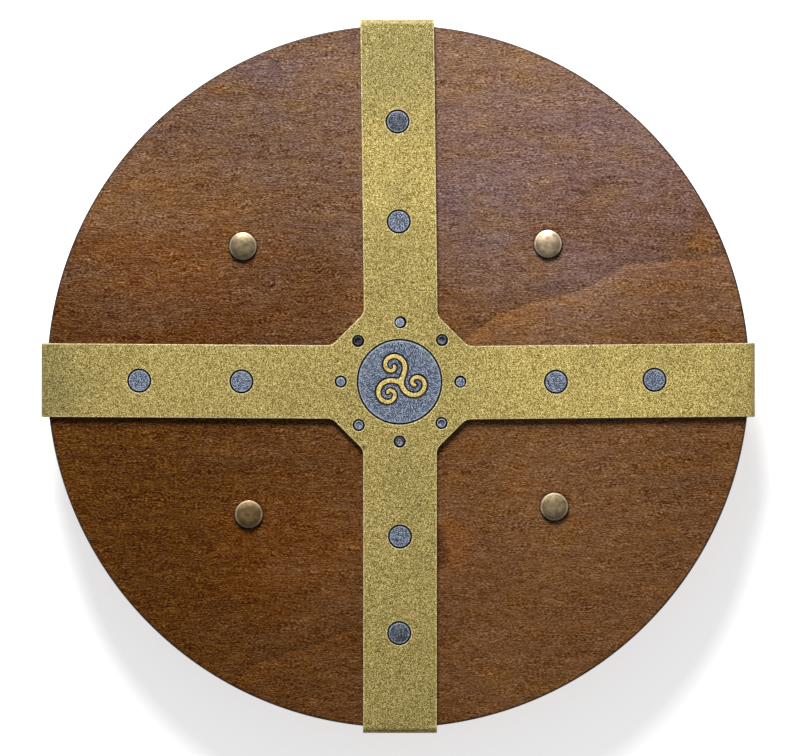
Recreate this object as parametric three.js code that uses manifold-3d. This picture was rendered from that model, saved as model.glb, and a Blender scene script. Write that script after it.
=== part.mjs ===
// A round wooden toy shield, lying on its back with its face up.
// Millimetres, +Z up. The origin is under the middle of the board, on the surface that the shield lies on.
// +Y is the top of the shield as it is worn, and +X is the right side of someone who looks at its face.
//
// A stained plywood board carries a cross of 2 mm gold sheet, glued down and turned over the rim at
// its four ends. Blue-grey discs fill the cross's round holes, and a gold triskele is let into the
// largest. Four cap rivets go through the board and hold two leather loops on its back: a grip for
// the hand and a loop for the forearm. The shield rests on the flat middles of the two loops.

import * as THREE from 'three';
import { mergeVertices } from 'three/addons/utils/BufferGeometryUtils.js';
import Module from 'manifold-3d';

const wasm = await Module();
wasm.setup();

// Board
const boardDiameter = 300;
const boardThickness = 6;
const edgeEase = 0.6;
const rimSides = 96;

// Gap between pieces that lie on or in each other
const fitGap = 0.3;

// Cross sheet
const sheetThickness = 2;
const armWidth = 31.6;
const bossMargin = 3.7;
const bossFillet = 4;
const bendInside = 0.4;
const crossCentre = new THREE.Vector2(0.6, -2.4);

// The cross is cut and glued by hand, so each arm has its own bearing in degrees and its own shift
// to the left of that bearing. A stud's place is its share of the way from the boss's flat to the
// rim, and its distance to the left of the arm's middle line.
const arms = [
  { side: 'right', bearing: 0.6, shift: -0.7, studs: { inner: [0.297, 0], outer: [0.652, 0.4] } },
  { side: 'top', bearing: 90.7, shift: -0.85, studs: { inner: [0.311, 0.35], outer: [0.671, 0.35] } },
  { side: 'left', bearing: 179.6, shift: 0.3, studs: { inner: [0.303, 0], outer: [0.671, 0] } },
  { side: 'bottom', bearing: 270, shift: 0.2, studs: { inner: [0.291, 0], outer: [0.639, -0.35] } },
];

// Studs: discs of the same sheet, set in the cross's holes
const largeStudDiameter = 9.3;
const smallStudDiameter = 4.2;
const studGap = 0.45;
const studEdge = 0.3;
const studSunk = 0.1;

// The ring of small studs stands a web away from the middle disc's hole. It too is marked out by
// hand: each stud has its own bearing and its own distance outside the ring, and a stud that lies
// off the middle of its hole has a slip.
const ringWeb = 4.5;
const smallStuds = [
  { side: 'right', bearing: 0.1, outside: 0.6, slip: [0.1, -0.15] },
  { side: 'top_right', bearing: 44.5, outside: 0.1, slip: [0, 0] },
  { side: 'top', bearing: 89.1, outside: 0.1, slip: [-0.25, -0.1] },
  { side: 'top_left', bearing: 135.4, outside: -0.5, slip: [0, 0] },
  { side: 'left', bearing: 179.8, outside: -0.2, slip: [0, 0] },
  { side: 'bottom_left', bearing: 226.7, outside: 0.1, slip: [0, 0] },
  { side: 'bottom', bearing: 270.1, outside: 0.2, slip: [0, 0] },
  { side: 'bottom_right', bearing: 315.5, outside: -0.2, slip: [0, 0] },
];

// Middle disc and the triskele in it. Each spiral winds inwards anticlockwise, from the junction to
// its own eye, through its own sweep in degrees. Places in the figure are shares of its reach.
const middleDiscDiameter = 35.6;
const triskeleReach = 12.2;
const spirals = [
  { eye: [-0.246, 0.549], sweep: 445 },
  { eye: [-0.369, -0.418], sweep: 477 },
  { eye: [0.566, -0.061], sweep: 450 },
];
const junctionPlace = [0.041, -0.008];
const spiralShoulder = 6.1;
const spiralTipRadius = 0.65;
const stemEasing = 13;
const stemWidth = 2.1;
const tipWidth = 1.4;
const junctionDiameter = 3;
const spiralSteps = 28;
const middleSides = 48;

// Cap rivets
const capDiameter = 12;
const capHeight = 2.3;
const capEdge = 0.7;
const capHem = 0.3;
const postDiameter = 3.2;
const backDiameter = 10;
const backHeight = 1.9;
const socketDepth = 1;
const rivetSides = 20;

// Leather loops, each between two rivets. A lean turns the loop's top towards -X, in degrees.
const strapThickness = 2.5;
const strapWidth = 25;
const loopHeight = 25;
const loopFlat = 44;
const tabHold = 9;
const loopSteps = 8;
const handLoopAside = 65;
const handLoopDrop = 1.7;
const handRivetSpan = 114.4;
const armLoopAside = 65.3;
const armLoopRise = 0.4;
const armRivetSpan = 112.2;
const straps = [
  {
    name: 'hand_strap',
    side: 'left',
    centre: new THREE.Vector2(-handLoopAside, -handLoopDrop),
    rivetSpan: handRivetSpan,
    lean: 1.25,
  },
  {
    name: 'arm_strap',
    side: 'right',
    centre: new THREE.Vector2(armLoopAside, armLoopRise),
    rivetSpan: armRivetSpan,
    lean: 1.38,
  },
];

// Levels worked out from the sizes above
const boardRadius = boardDiameter / 2;
const boardBack = strapThickness + loopHeight;
const boardFront = boardBack + boardThickness;
const sheetUnder = boardFront + fitGap;
const sheetTop = sheetUnder + sheetThickness;
const tabTop = boardBack - fitGap;
const tabUnder = tabTop - strapThickness;
const postHoleRadius = postDiameter / 2 + fitGap;
const middleHoleRadius = middleDiscDiameter / 2 + studGap;
const smallHoleRadius = smallStudDiameter / 2 + studGap;
const ringRadius = middleHoleRadius + ringWeb + smallHoleRadius;
const bossRadius = ringRadius + smallHoleRadius + bossMargin;
const junction = new THREE.Vector2(...junctionPlace).multiplyScalar(triskeleReach);
const cutBelow = boardBack - sheetThickness;
const cutAbove = sheetTop + sheetThickness;

const radians = THREE.MathUtils.degToRad;

// Finishes
const finishes = {
  wood: { color: 0x6f482c, roughness: 0.55, metalness: 0 },
  gold: { color: 0xa8955a, roughness: 0.5, metalness: 0.3 },
  bluegrey: { color: 0x6b7884, roughness: 0.6, metalness: 0.1 },
  brass: { color: 0x8f8164, roughness: 0.35, metalness: 0.9 },
  leather: { color: 0x4a2c1a, roughness: 0.7, metalness: 0 },
};

const shield = new THREE.Group();

function addPiece(name, geometry, finish, parent = shield) {
  const mesh = new THREE.Mesh(geometry, new THREE.MeshStandardMaterial(finishes[finish]));
  mesh.name = name;
  parent.add(mesh);
  return mesh;
}

// A closed geometry as a solid that can be cut and joined
function toSolid(geometry) {
  const plain = new THREE.BufferGeometry();
  plain.setAttribute('position', geometry.getAttribute('position'));
  plain.setIndex(geometry.getIndex());
  const merged = mergeVertices(plain, 1e-4);
  return new wasm.Manifold(new wasm.Mesh({
    numProp: 3,
    vertProperties: new Float32Array(merged.getAttribute('position').array),
    triVerts: new Uint32Array(merged.getIndex().array),
  }));
}

function toGeometry(solid) {
  const mesh = solid.getMesh();
  const geometry = new THREE.BufferGeometry();
  geometry.setAttribute('position', new THREE.BufferAttribute(mesh.vertProperties, 3));
  geometry.setIndex(new THREE.BufferAttribute(mesh.triVerts, 1));
  geometry.computeVertexNormals();
  return geometry;
}

// A profile of [radius, height] points, from the axis round to the axis again, turned about +Z.
// The points run anticlockwise, with the radius to the right and the height up.
function turned(profile, sides) {
  const points = profile.map(([radius, height]) => new THREE.Vector2(radius, height));
  return new THREE.LatheGeometry(points, sides).rotateX(Math.PI / 2);
}

// Points of an arc about [x, y], from one angle in degrees to another
function arc(x, y, radiusX, radiusY, from, to, steps) {
  return Array.from({ length: steps + 1 }, (unused, i) => {
    const angle = radians(from + (to - from) * i / steps);
    return [x + radiusX * Math.cos(angle), y + radiusY * Math.sin(angle)];
  });
}

// A straight-sided block of an outline, from one height to another
function prism(shape, bottom, top) {
  return new THREE.ExtrudeGeometry(shape, { depth: top - bottom, bevelEnabled: false, curveSegments: 4 })
    .translate(0, 0, bottom);
}

// A round rod at a place in plan, from one height to another
function rod(radius, sides, at, bottom, top) {
  return toSolid(turned([[0, bottom], [radius, bottom], [radius, top], [0, top]], sides)
    .translate(at.x, at.y, 0));
}

function unitAt(bearing) {
  return new THREE.Vector2(Math.cos(radians(bearing)), Math.sin(radians(bearing)));
}

// Where two straight lines meet, each given by a point on it and its direction
function meeting(lineA, lineB) {
  const between = lineB.point.clone().sub(lineA.point);
  const along = between.cross(lineB.direction) / lineA.direction.cross(lineB.direction);
  return lineA.point.clone().addScaledVector(lineA.direction, along);
}

// Where the rivets go: one at each end of each loop
function strapEnds({ centre, rivetSpan, lean }) {
  const half = unitAt(90 + lean).multiplyScalar(rivetSpan / 2);
  return { top: centre.clone().add(half), bottom: centre.clone().sub(half) };
}

const rivetPlaces = straps.flatMap((strap) =>
  Object.entries(strapEnds(strap)).map(([end, at]) => ({ name: `${end}_${strap.side}`, at })));

// Board: a disc with eased edges and a hole for each rivet
function makeBoard() {
  const flat = boardRadius - edgeEase;
  const disc = toSolid(turned([
    [0, boardBack],
    ...arc(flat, boardBack + edgeEase, edgeEase, edgeEase, -90, 0, 1),
    ...arc(flat, boardFront - edgeEase, edgeEase, edgeEase, 0, 90, 1),
    [0, boardFront],
  ], rimSides));
  return rivetPlaces.reduce((solid, { at }) =>
    solid.subtract(rod(postHoleRadius, rivetSides, at, cutBelow, cutAbove)), disc);
}

// A square block between two heights, with its four upper edges rounded
function squareBlock(halfLength, bottom, top, rounding, steps) {
  const rightEdge = [
    [halfLength, bottom],
    ...arc(halfLength - rounding, top - rounding, rounding, rounding, 0, 90, steps),
  ];
  const leftEdge = rightEdge.map(([x, height]) => [-x, height]).reverse();
  const profile = new THREE.Shape([...rightEdge, ...leftEdge].map((point) => new THREE.Vector2(...point)));
  const along = toSolid(prism(profile, -boardDiameter, boardDiameter).rotateX(Math.PI / 2));
  return along.intersect(along.rotate([0, 0, 90]));
}

// The sheet as it would cover a square face and turn down in a straight fold at each side
function coverSheet() {
  const inside = boardRadius + fitGap;
  const outside = inside + sheetThickness;
  return squareBlock(outside, boardBack, sheetTop, bendInside + sheetThickness, 4)
    .subtract(squareBlock(inside, cutBelow, sheetUnder, bendInside, 1));
}

// Plan outline of the cross: four arms that run past the rim, and the eight-sided boss between them.
// The boss meets each arm in a fillet.
function crossOutline() {
  const sideLine = (arm, side) => {
    const direction = unitAt(arm.bearing);
    const normal = unitAt(arm.bearing + 90);
    const offset = arm.shift + side * armWidth / 2;
    return { point: crossCentre.clone().addScaledVector(normal, offset), direction };
  };
  const shape = new THREE.Shape();
  const fillet = (corner, from, to) => {
    const start = corner.clone().addScaledVector(from, -bossFillet / 2);
    const end = corner.clone().addScaledVector(to, bossFillet / 2);
    shape.lineTo(start.x, start.y);
    shape.quadraticCurveTo(corner.x, corner.y, end.x, end.y);
  };
  arms.forEach((arm, i) => {
    const next = arms[(i + 1) % arms.length];
    const right = sideLine(arm, -1);
    const left = sideLine(arm, 1);
    const nextRight = sideLine(next, -1);
    const cornerBearing = 45 + 90 * i;
    const chamfer = {
      point: crossCentre.clone().addScaledVector(unitAt(cornerBearing), bossRadius),
      direction: unitAt(cornerBearing + 90),
    };
    const endRight = right.point.clone().addScaledVector(right.direction, boardDiameter);
    const endLeft = left.point.clone().addScaledVector(left.direction, boardDiameter);
    if (i === 0) shape.moveTo(endRight.x, endRight.y);
    else shape.lineTo(endRight.x, endRight.y);
    shape.lineTo(endLeft.x, endLeft.y);
    fillet(meeting(left, chamfer), left.direction.clone().negate(), chamfer.direction);
    fillet(meeting(chamfer, nextRight), chamfer.direction, nextRight.direction);
  });
  return shape;
}

// Studs with their places in the cross: two in each arm, and the ring of small ones
const studPlaces = [
  ...arms.flatMap(({ side, bearing, shift, studs }) =>
    Object.entries(studs).map(([place, [share, aside]]) => ({
      name: `large_stud_${side}_${place}`,
      hole: crossCentre.clone()
        .addScaledVector(unitAt(bearing), THREE.MathUtils.lerp(bossRadius, boardRadius, share))
        .addScaledVector(unitAt(bearing + 90), shift + aside),
      slip: [0, 0],
      diameter: largeStudDiameter,
      sides: 20,
    }))),
  ...smallStuds.map(({ side, bearing, outside, slip }) => ({
    name: `small_stud_${side}`,
    hole: crossCentre.clone().addScaledVector(unitAt(bearing), ringRadius + outside),
    slip,
    diameter: smallStudDiameter,
    sides: 14,
  })),
];

// Cross: the cover sheet cut to the outline, with a hole for each stud and for the middle disc
function makeCross() {
  const sheet = coverSheet()
    .intersect(toSolid(prism(crossOutline(), cutBelow, cutAbove)))
    .subtract(rod(middleHoleRadius, middleSides, crossCentre, cutBelow, cutAbove));
  return studPlaces.reduce((solid, { hole, diameter, sides }) =>
    solid.subtract(rod(diameter / 2 + studGap, sides, hole, cutBelow, cutAbove)), sheet);
}

// A disc of the sheet with a rounded upper edge, lying a little below the cross's surface
function discProfile(diameter) {
  const radius = diameter / 2;
  const top = sheetTop - studSunk;
  return [
    [0, sheetUnder],
    [radius, sheetUnder],
    ...arc(radius - studEdge, top - studEdge, studEdge, studEdge, 0, 90, 1),
    [0, top],
  ];
}

// Plan outline of one stroke of the triskele: a spiral from the junction round to its eye, with a
// round tip. The extra width opens the stroke for the slot that it is let into.
function spiralStroke({ eye, sweep }, extra) {
  const middle = new THREE.Vector2(...eye).multiplyScalar(triskeleReach);
  const start = junction.clone().sub(middle);
  const startBearing = THREE.MathUtils.radToDeg(start.angle());
  const centreline = Array.from({ length: spiralSteps + 1 }, (unused, i) => {
    const share = i / spiralSteps;
    const coil = THREE.MathUtils.lerp(spiralShoulder, spiralTipRadius, share);
    const stem = (start.length() - spiralShoulder) * Math.exp(-sweep * share / stemEasing);
    return middle.clone().addScaledVector(unitAt(startBearing + sweep * share), coil + stem);
  });
  const headings = centreline.map((point, i) => {
    const before = centreline[Math.max(i - 1, 0)];
    const after = centreline[Math.min(i + 1, spiralSteps)];
    return after.clone().sub(before).angle();
  });
  const halfWidth = (share) => THREE.MathUtils.lerp(stemWidth, tipWidth, share) / 2 + extra;
  const edge = (side) => centreline.map((point, i) => {
    const across = unitAt(THREE.MathUtils.radToDeg(headings[i]) + 90);
    return point.clone().addScaledVector(across, side * halfWidth(i / spiralSteps));
  });
  const tip = centreline[spiralSteps];
  const tipHeading = headings[spiralSteps];
  const shape = new THREE.Shape(edge(-1));
  shape.absarc(tip.x, tip.y, halfWidth(1), tipHeading - Math.PI / 2, tipHeading + Math.PI / 2);
  edge(1).reverse().forEach((point) => shape.lineTo(point.x, point.y));
  return shape;
}

// The triskele: three strokes that meet in a round junction
function triskeleBlock(extra, bottom, top) {
  const middle = rod(junctionDiameter / 2 + extra, 16, junction, bottom, top);
  return spirals.reduce((solid, spiral) =>
    solid.add(toSolid(prism(spiralStroke(spiral, extra), bottom, top))), middle);
}

function makeMiddleDisc() {
  return toSolid(turned(discProfile(middleDiscDiameter), middleSides))
    .subtract(triskeleBlock(fitGap, cutBelow, cutAbove));
}

// Rivet cap: a shallow dome with a rounded edge, on a post that goes through board and strap
function makeRivetCap() {
  const radius = capDiameter / 2;
  const post = postDiameter / 2;
  const under = boardFront + fitGap;
  const postEnd = tabUnder - socketDepth;
  return turned([
    [0, postEnd],
    [post, postEnd],
    [post, under],
    [radius - capHem, under],
    ...arc(0, under + capEdge, radius, capHeight - capEdge, 0, 90, 4),
  ], rivetSides);
}

// Rivet back: the cap that closes the rivet behind the strap, with a socket for the post
function makeRivetBack() {
  const radius = backDiameter / 2;
  const seat = tabUnder - fitGap;
  return turned([
    ...arc(0, seat - capEdge, radius, backHeight - capEdge, -90, 0, 3),
    [radius - capHem, seat],
    [postHoleRadius, seat],
    [postHoleRadius, seat - socketDepth],
    [0, seat - socketDepth],
  ], rivetSides);
}

// One face of a loop in side view, as points of [along, height]: flat where it lies on the ground,
// and flat against the board at its rivets. Side 1 is the upper face, and side -1 the lower one.
function loopFace(rivetSpan, side) {
  const low = strapThickness / 2;
  const high = tabTop - strapThickness / 2;
  const flatEnd = loopFlat / 2;
  const run = rivetSpan / 2 - tabHold - flatEnd;
  const offset = side * strapThickness / 2;
  const slope = Array.from({ length: loopSteps + 1 }, (unused, i) => {
    const share = i / loopSteps;
    const height = THREE.MathUtils.lerp(low, high, THREE.MathUtils.smoothstep(share, 0, 1));
    const steepness = 6 * share * (1 - share) * (high - low) / run;
    const outward = new THREE.Vector2(-steepness, 1).normalize();
    return new THREE.Vector2(flatEnd + run * share, height).addScaledVector(outward, offset);
  });
  const half = [...slope, new THREE.Vector2(rivetSpan / 2 + strapWidth, high + offset)];
  return [...half.map(({ x, y }) => new THREE.Vector2(-x, y)).reverse(), ...half];
}

// Plan outline of a loop: a strip with round ends about its rivets
function loopPlan(rivetSpan) {
  const shape = new THREE.Shape();
  shape.absarc(0, rivetSpan / 2, strapWidth / 2, 0, Math.PI);
  shape.absarc(0, -rivetSpan / 2, strapWidth / 2, Math.PI, 2 * Math.PI);
  return shape;
}

// A loop lies along Y about its own middle, with a hole for each rivet
function makeStrap(rivetSpan) {
  const sideView = new THREE.Shape([...loopFace(rivetSpan, -1), ...loopFace(rivetSpan, 1).reverse()]);
  const alongY = new THREE.Matrix4().makeBasis(
    new THREE.Vector3(0, 1, 0), new THREE.Vector3(0, 0, 1), new THREE.Vector3(1, 0, 0));
  const band = toSolid(prism(sideView, -strapWidth, strapWidth).applyMatrix4(alongY))
    .intersect(toSolid(prism(loopPlan(rivetSpan), -strapThickness, boardBack)));
  return [1, -1].reduce((solid, end) => {
    const at = new THREE.Vector2(0, end * rivetSpan / 2);
    return solid.subtract(rod(postHoleRadius, rivetSides, at, 0, boardBack));
  }, band);
}

addPiece('board', toGeometry(makeBoard()), 'wood');
addPiece('cross', toGeometry(makeCross()), 'gold');

for (const { name, hole, slip, diameter, sides } of studPlaces) {
  const stud = addPiece(name, turned(discProfile(diameter), sides), 'bluegrey');
  stud.position.set(hole.x + slip[0], hole.y + slip[1], 0);
}

const middle = new THREE.Group();
middle.position.set(crossCentre.x, crossCentre.y, 0);
shield.add(middle);
addPiece('middle_disc', toGeometry(makeMiddleDisc()), 'bluegrey', middle);
addPiece('triskele', toGeometry(triskeleBlock(0, sheetUnder, sheetTop)), 'gold', middle);

for (const { name, at } of rivetPlaces) {
  addPiece(`rivet_cap_${name}`, makeRivetCap(), 'brass').position.set(at.x, at.y, 0);
  addPiece(`rivet_back_${name}`, makeRivetBack(), 'brass').position.set(at.x, at.y, 0);
}

for (const { name, centre, rivetSpan, lean } of straps) {
  const strap = addPiece(name, toGeometry(makeStrap(rivetSpan)), 'leather');
  strap.position.set(centre.x, centre.y, 0);
  strap.rotation.z = radians(lean);
}

export default shield;
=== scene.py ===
"""Looks of a small round wooden shield that lies face up on a pale floor.

The board, the gold cross, its blue-grey discs, the triskele, the rivets and the two leather loops
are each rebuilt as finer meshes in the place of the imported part's nodes. Points are worked out in
millimetres and become metres when a mesh is made.
"""
import math

import bpy
import numpy as np
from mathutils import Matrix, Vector, geometry, noise


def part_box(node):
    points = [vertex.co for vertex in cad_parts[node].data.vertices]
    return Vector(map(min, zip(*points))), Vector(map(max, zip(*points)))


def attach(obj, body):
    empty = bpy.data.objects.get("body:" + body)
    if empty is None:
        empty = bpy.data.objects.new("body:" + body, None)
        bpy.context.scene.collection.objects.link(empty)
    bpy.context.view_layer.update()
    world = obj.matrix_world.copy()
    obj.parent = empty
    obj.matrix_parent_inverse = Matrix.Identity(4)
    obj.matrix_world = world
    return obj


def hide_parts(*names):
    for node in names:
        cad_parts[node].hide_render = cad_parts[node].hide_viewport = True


MM = 0.001

# Board
PLY_COUNT = 5
PLY_GROOVE = 0.06
BOARD_EASE = 0.6
BOARD_SIDES = 288
POST_HOLE_RADIUS = 1.9
POST_GAP = 0.3
RIVET_ENDS = ("top_left", "top_right", "bottom_left", "bottom_right")

# Dent that each rivet cap presses into the board
DENT_DEPTH = 0.2
DENT_REACH = 7.6
DENT_SLOPE = 1.6
DENT_RINGS = (4.6, 5.5, 6.0, 6.4, 6.8, 7.3, 8.2, 10)

# Cross: arms as (bearing in degrees, shift to the left of it), and the eight-sided boss
ARMS = ((0.6, -0.7), (90.7, -0.85), (179.6, 0.3), (270.0, 0.2))
ARM_WIDTH = 31.6
ARM_CORNER = 1.0
BOSS_RADIUS = 31.55
BOSS_FILLET = 4.8

# Rounded upper lips of the sheet's edges, and the narrow flats beside them
HOLE_LIP = 0.3
OUTER_LIP = 0.42
LIP_FLAT = 0.35
STUD_LIP = 0.45
DISC_LIP_FLAT = 0.9
SLOT_LIP = 0.3
SLOT_LIP_FLAT = 0.6
TRISKELE_LIP = 0.36
TRISKELE_LIP_FLAT = 0.13

# Places of the finishes in a piece's list
CUT = 1
# The lip's place gets a lighter paint: painted highlight on the rounded lip
LIP_HIGHLIGHT = 2
# The hollow's place: a stud's dish, and on the middle disc the narrow flat beside the triskele's slot,
# which gets painted shade
HOLLOW = 3

# Bend of the sheet over the rim
BEND_START = 149.9
BEND_INSIDE = 0.4
BEND_NEUTRAL = 1.4
BEND_STEPS = 8
BEND_MARGIN = 0.4

# Small studs that aren't flat: name and depth of the dish in the top
DISHED_STUDS = {
    "small_stud_top_left": 0.8,
    "small_stud_top_right": 0.75,
    "small_stud_bottom_left": 0.45,
    "small_stud_bottom_right": 0.7,
    "small_stud_bottom": 0.4,
}

# Studs whose paint isn't the plain face with the lighter lip: paint of the face, the lip and the
# # hollow. The lighter lip paints are painted highlights. The near-black paint, and the dark mottled
# # paint on the small studs, are painted shade in and around their dishes; on the two large outer
# # studs the dark mottled paint is their own mottle.
STUD_PAINT = {
    "large_stud_top_outer": ("scuffed", "worn", "scuffed"),
    "large_stud_bottom_outer": ("scuffed", "worn", "scuffed"),
    "small_stud_left": ("pale", "bright", "pale"),
    "small_stud_top": ("pale", "bright", "pale"),
    "small_stud_right": ("plain", "bright", "plain"),
    "small_stud_bottom_left": ("plain", "bright", "plain"),
    "small_stud_bottom": ("plain", "scuffed", "plain"),
    "small_stud_bottom_right": ("plain", "bright", "scuffed"),
    "small_stud_top_right": ("scuffed", "scuffed", "scuffed"),
    "small_stud_top_left": ("blackened", "blackened", "blackened"),
}

# Rolled rim of a rivet cap, as (way in from the edge, height above the seat)
CAP_BEAD = (
    (0.20, 0.02), (0.05, 0.18), (0, 0.45), (0, 0.75), (0.03, 0.96), (0.10, 1.12), (0.21, 1.24),
    (0.35, 1.31), (0.50, 1.35), (0.66, 1.38), (0.82, 1.41),
)

# Shares of a cap's radius at which its dome has a ring, and how flat the middle of each dome is
DOME_RINGS = (0.97, 0.93, 0.87, 0.8, 0.72, 0.64, 0.55, 0.46, 0.36, 0.26, 0.16, 0.08, 0)
DOME_POWER = {"top_left": 2.8, "top_right": 2.8, "bottom_left": 4.0, "bottom_right": 4.0}

# Caps whose brass is painted lighter or darker for how much of the lamp each catches: painted
# # reflection on the top right cap, painted shade on the bottom left one. Name, reach, tint
CAP_PAINTED_LIGHT = (
    ("top_right", 10, (1.45, 1.47, 1.60)),
    ("top_right", 5, (1.25, 1.25, 1.28)),
    ("bottom_left", 7, (0.66, 0.58, 0.46)),
)

# Leather loops
STRAP_THICKNESS = 2.5
STRAP_WIDTH = 25.0
LOOP_FLAT = 44.0
TAB_HOLD = 9.0
STRAP_SIDE_STEPS = 110
STRAP_END_STEPS = 40

# Wood: its tone on the left and the right, partly the wood's own tone and partly painted light that
# makes the right side brighter and less orange; a painted sheen added towards the top; and how strong
# the grain is low on the board and over the rest of it
WOOD_LEFT = (0.076, 0.0235, 0.0005)
WOOD_RIGHT = (0.129, 0.053, 0.0155)
WOOD_TOP_SHEEN = (0.036, 0.036, 0.0350)
WOOD_GRAIN = (0.066, 0.077)

# Figure lines in the wood: how far the lighter wood below one and the darker wood above it reach, and
# its points of (x, y)
FIGURE_LINES = (
    (22, 13, ((20, 9), (29, 16), (44, 27), (66, 34), (79, 37), (93, 45), (103, 48), (113, 49), (150, 52))),
    (12, 10, ((-72, -132), (-62, -124), (-48, -119), (-35, -114), (-26, -110), (-14, -106))),
    (0.6, 3.5, ((92, -58), (106, -51), (116, -48), (129, -43))),
)

# Places where the stain took differently, and one place of painted sheen: x, y, reach along the grain,
# # reach across it, tint. The large bluish place at the upper right is painted sheen.
STAINS_AND_PAINTED_SHEEN = (
    (-100, 66, 62, 40, (1.35, 1.26, 0.88)),
    # Painted sheen: the wood greyer and bluer at the upper right
    (70, 78, 100, 62, (0.91, 0.95, 1.34)),
    (20, -72, 14, 18, (1.28, 1.15, 1.0)),
    (16.5, -68, 5.5, 7, (0.55, 0.56, 0.72)),
    (17.5, -77, 5.5, 8, (0.50, 0.52, 0.66)),
    (130, 57, 9, 5, (1.25, 1.08, 0.6)),
    (34, 66, 22, 40, (1.04, 1.14, 1.26)),
    (60, 34, 44, 30, (1.08, 1.17, 1.36)),
    (-33, 44, 18, 24, (0.86, 0.82, 0.74)),
    (-90, 30, 70, 22, (1.07, 1.00, 0.80)),
    (-50, -72, 42, 38, (1.20, 1.14, 0.94)),
    (72, -52, 40, 46, (1.10, 1.15, 1.30)),
    (122, -46, 22, 30, (0.90, 0.90, 0.92)),
    (-76, 122, 7, 4, (1.15, 1.02, 0.7)),
    (-57, 130, 16, 9, (0.9, 0.95, 1.25)),
    (76, 112, 3, 7, (0.85, 0.78, 0.7)),
)

# Places where the gold is darker or lighter: x, y, reach each way, tint. The first two are a small
# # dark spot and a thin light streak. The wide ones on the arms are painted light and shade: darker at
# # the ends of the top and left arms where the sheet turns down over the rim, lighter on the upper and
# # right arms, and a little darker on the lower arm.
GOLD_MARKS_AND_PAINTED_LIGHT = (
    (-14.8, -30.4, 1.6, 1.2, (0.3, 0.3, 0.35)),
    (30.7, 2.2, 0.35, 6.5, (1.3, 1.3, 1.3)),
    # Painted light and shade on the arms, from here on
    (0, 140, 60, 34, (0.79, 0.81, 0.86)),
    (0, 84, 60, 26, (1.18, 1.17, 1.16)),
    (88, 0, 74, 60, (1.26, 1.25, 1.22)),
    (-152, 0, 18, 60, (0.71, 0.73, 0.78)),
    (0, -125, 60, 38, (0.94, 0.94, 0.93)),
)

# Places where the blue-grey paint is darker, listed the same way
BLUE_PLACES = (
    (0.6, -2.4, 19, 19, (0.89, 0.91, 0.95)),
    (-0.5, 109, 8, 8, (0.68, 0.70, 0.86)),
)

# Camera, light and floor
VIEW_CENTRE = (0.79, -0.74, 34.5)
VIEW_WIDTH = 341.4
CAMERA_HEIGHT = 3000.0
SENSOR = 36.0
LAMP_PLACE = (-120.0, 900.0, 640.0)
LAMP_SIZE = 0.5
LAMP_POWER = 24.2
SKY_STRENGTH = 0.26
FLOOR_GLOW = 0.6
FLOOR_HALF = 4000.0


# Plan outlines

def unit(bearing):
    return np.array([math.cos(math.radians(bearing)), math.sin(math.radians(bearing))])


def circle(centre, radius, count, clockwise=False):
    angles = np.arange(count) * 2 * math.pi / count * (-1 if clockwise else 1)
    return np.column_stack([centre[0] + radius * np.cos(angles), centre[1] + radius * np.sin(angles)])


def rounded_outline(corners, spacing):
    """A closed outline through corners of (x, y, radius), with points at most a spacing apart."""
    points = []
    count = len(corners)
    places = [np.array(corner[:2], float) for corner in corners]
    arcs = []
    for i, (x, y, radius) in enumerate(corners):
        before = places[i] - places[i - 1]
        after = places[(i + 1) % count] - places[i]
        before = before / np.linalg.norm(before)
        after = after / np.linalg.norm(after)
        turn = math.atan2(before[0] * after[1] - before[1] * after[0], before @ after)
        if radius == 0 or abs(turn) < 0.01:
            arcs.append([places[i]])
            continue
        start = places[i] - before * radius * math.tan(abs(turn) / 2)
        inward = np.array([-before[1], before[0]]) * math.copysign(1, turn)
        middle = start + inward * radius
        steps = max(4, math.ceil(abs(turn) * radius / 0.3))
        arcs.append([
            middle + math.cos(turn * k / steps) * (start - middle)
            + math.sin(turn * k / steps) * np.array([-(start - middle)[1], (start - middle)[0]])
            for k in range(steps + 1)
        ])
    for i, arc in enumerate(arcs):
        points.extend(arc)
        gap = arcs[(i + 1) % count][0] - arc[-1]
        pieces = math.ceil(np.linalg.norm(gap) / spacing)
        points.extend(arc[-1] + gap * k / pieces for k in range(1, pieces))
    return np.array(points)


def smoothed(loop, spacing, times):
    """The closed loop with evenly spaced points and its corners worn round."""
    closed = np.vstack([loop, loop[:1]])
    lengths = np.concatenate([[0], np.cumsum(np.hypot(*np.diff(closed, axis=0).T))])
    at = np.linspace(0, lengths[-1], round(lengths[-1] / spacing), endpoint=False)
    loop = np.column_stack([np.interp(at, lengths, closed[:, k]) for k in (0, 1)])
    for _ in range(times):
        loop = loop / 2 + (np.roll(loop, 1, axis=0) + np.roll(loop, -1, axis=0)) / 4
    return loop


def inset(loop, distance, most=None):
    """The closed loop moved to its left, less far where the room for the largest move is narrow."""
    ahead = np.roll(loop, -1, axis=0) - loop
    ahead /= np.linalg.norm(ahead, axis=1, keepdims=True)
    left = np.column_stack([-ahead[:, 1], ahead[:, 0]])
    mean = left + np.roll(left, 1, axis=0)
    length = np.linalg.norm(mean, axis=1, keepdims=True)
    normals = mean / np.maximum(length, 1e-6)
    mitre = np.clip(2 / np.maximum(length, 1e-6), 1, 1.3)
    share = np.minimum(1, 0.7 * room_beside(loop, normals) / (most or distance or 1))
    return loop + normals * mitre * share[:, None] * distance


def room_beside(loop, normals):
    """Radius of the largest circle that touches the loop at each point and stays on its left."""
    gaps = loop[None] - loop[:, None]
    ahead = (gaps * normals[:, None]).sum(axis=2)
    squares = (gaps ** 2).sum(axis=2)
    return np.where(ahead > 1e-6, squares / np.maximum(2 * ahead, 1e-9), np.inf).min(axis=1)


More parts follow.
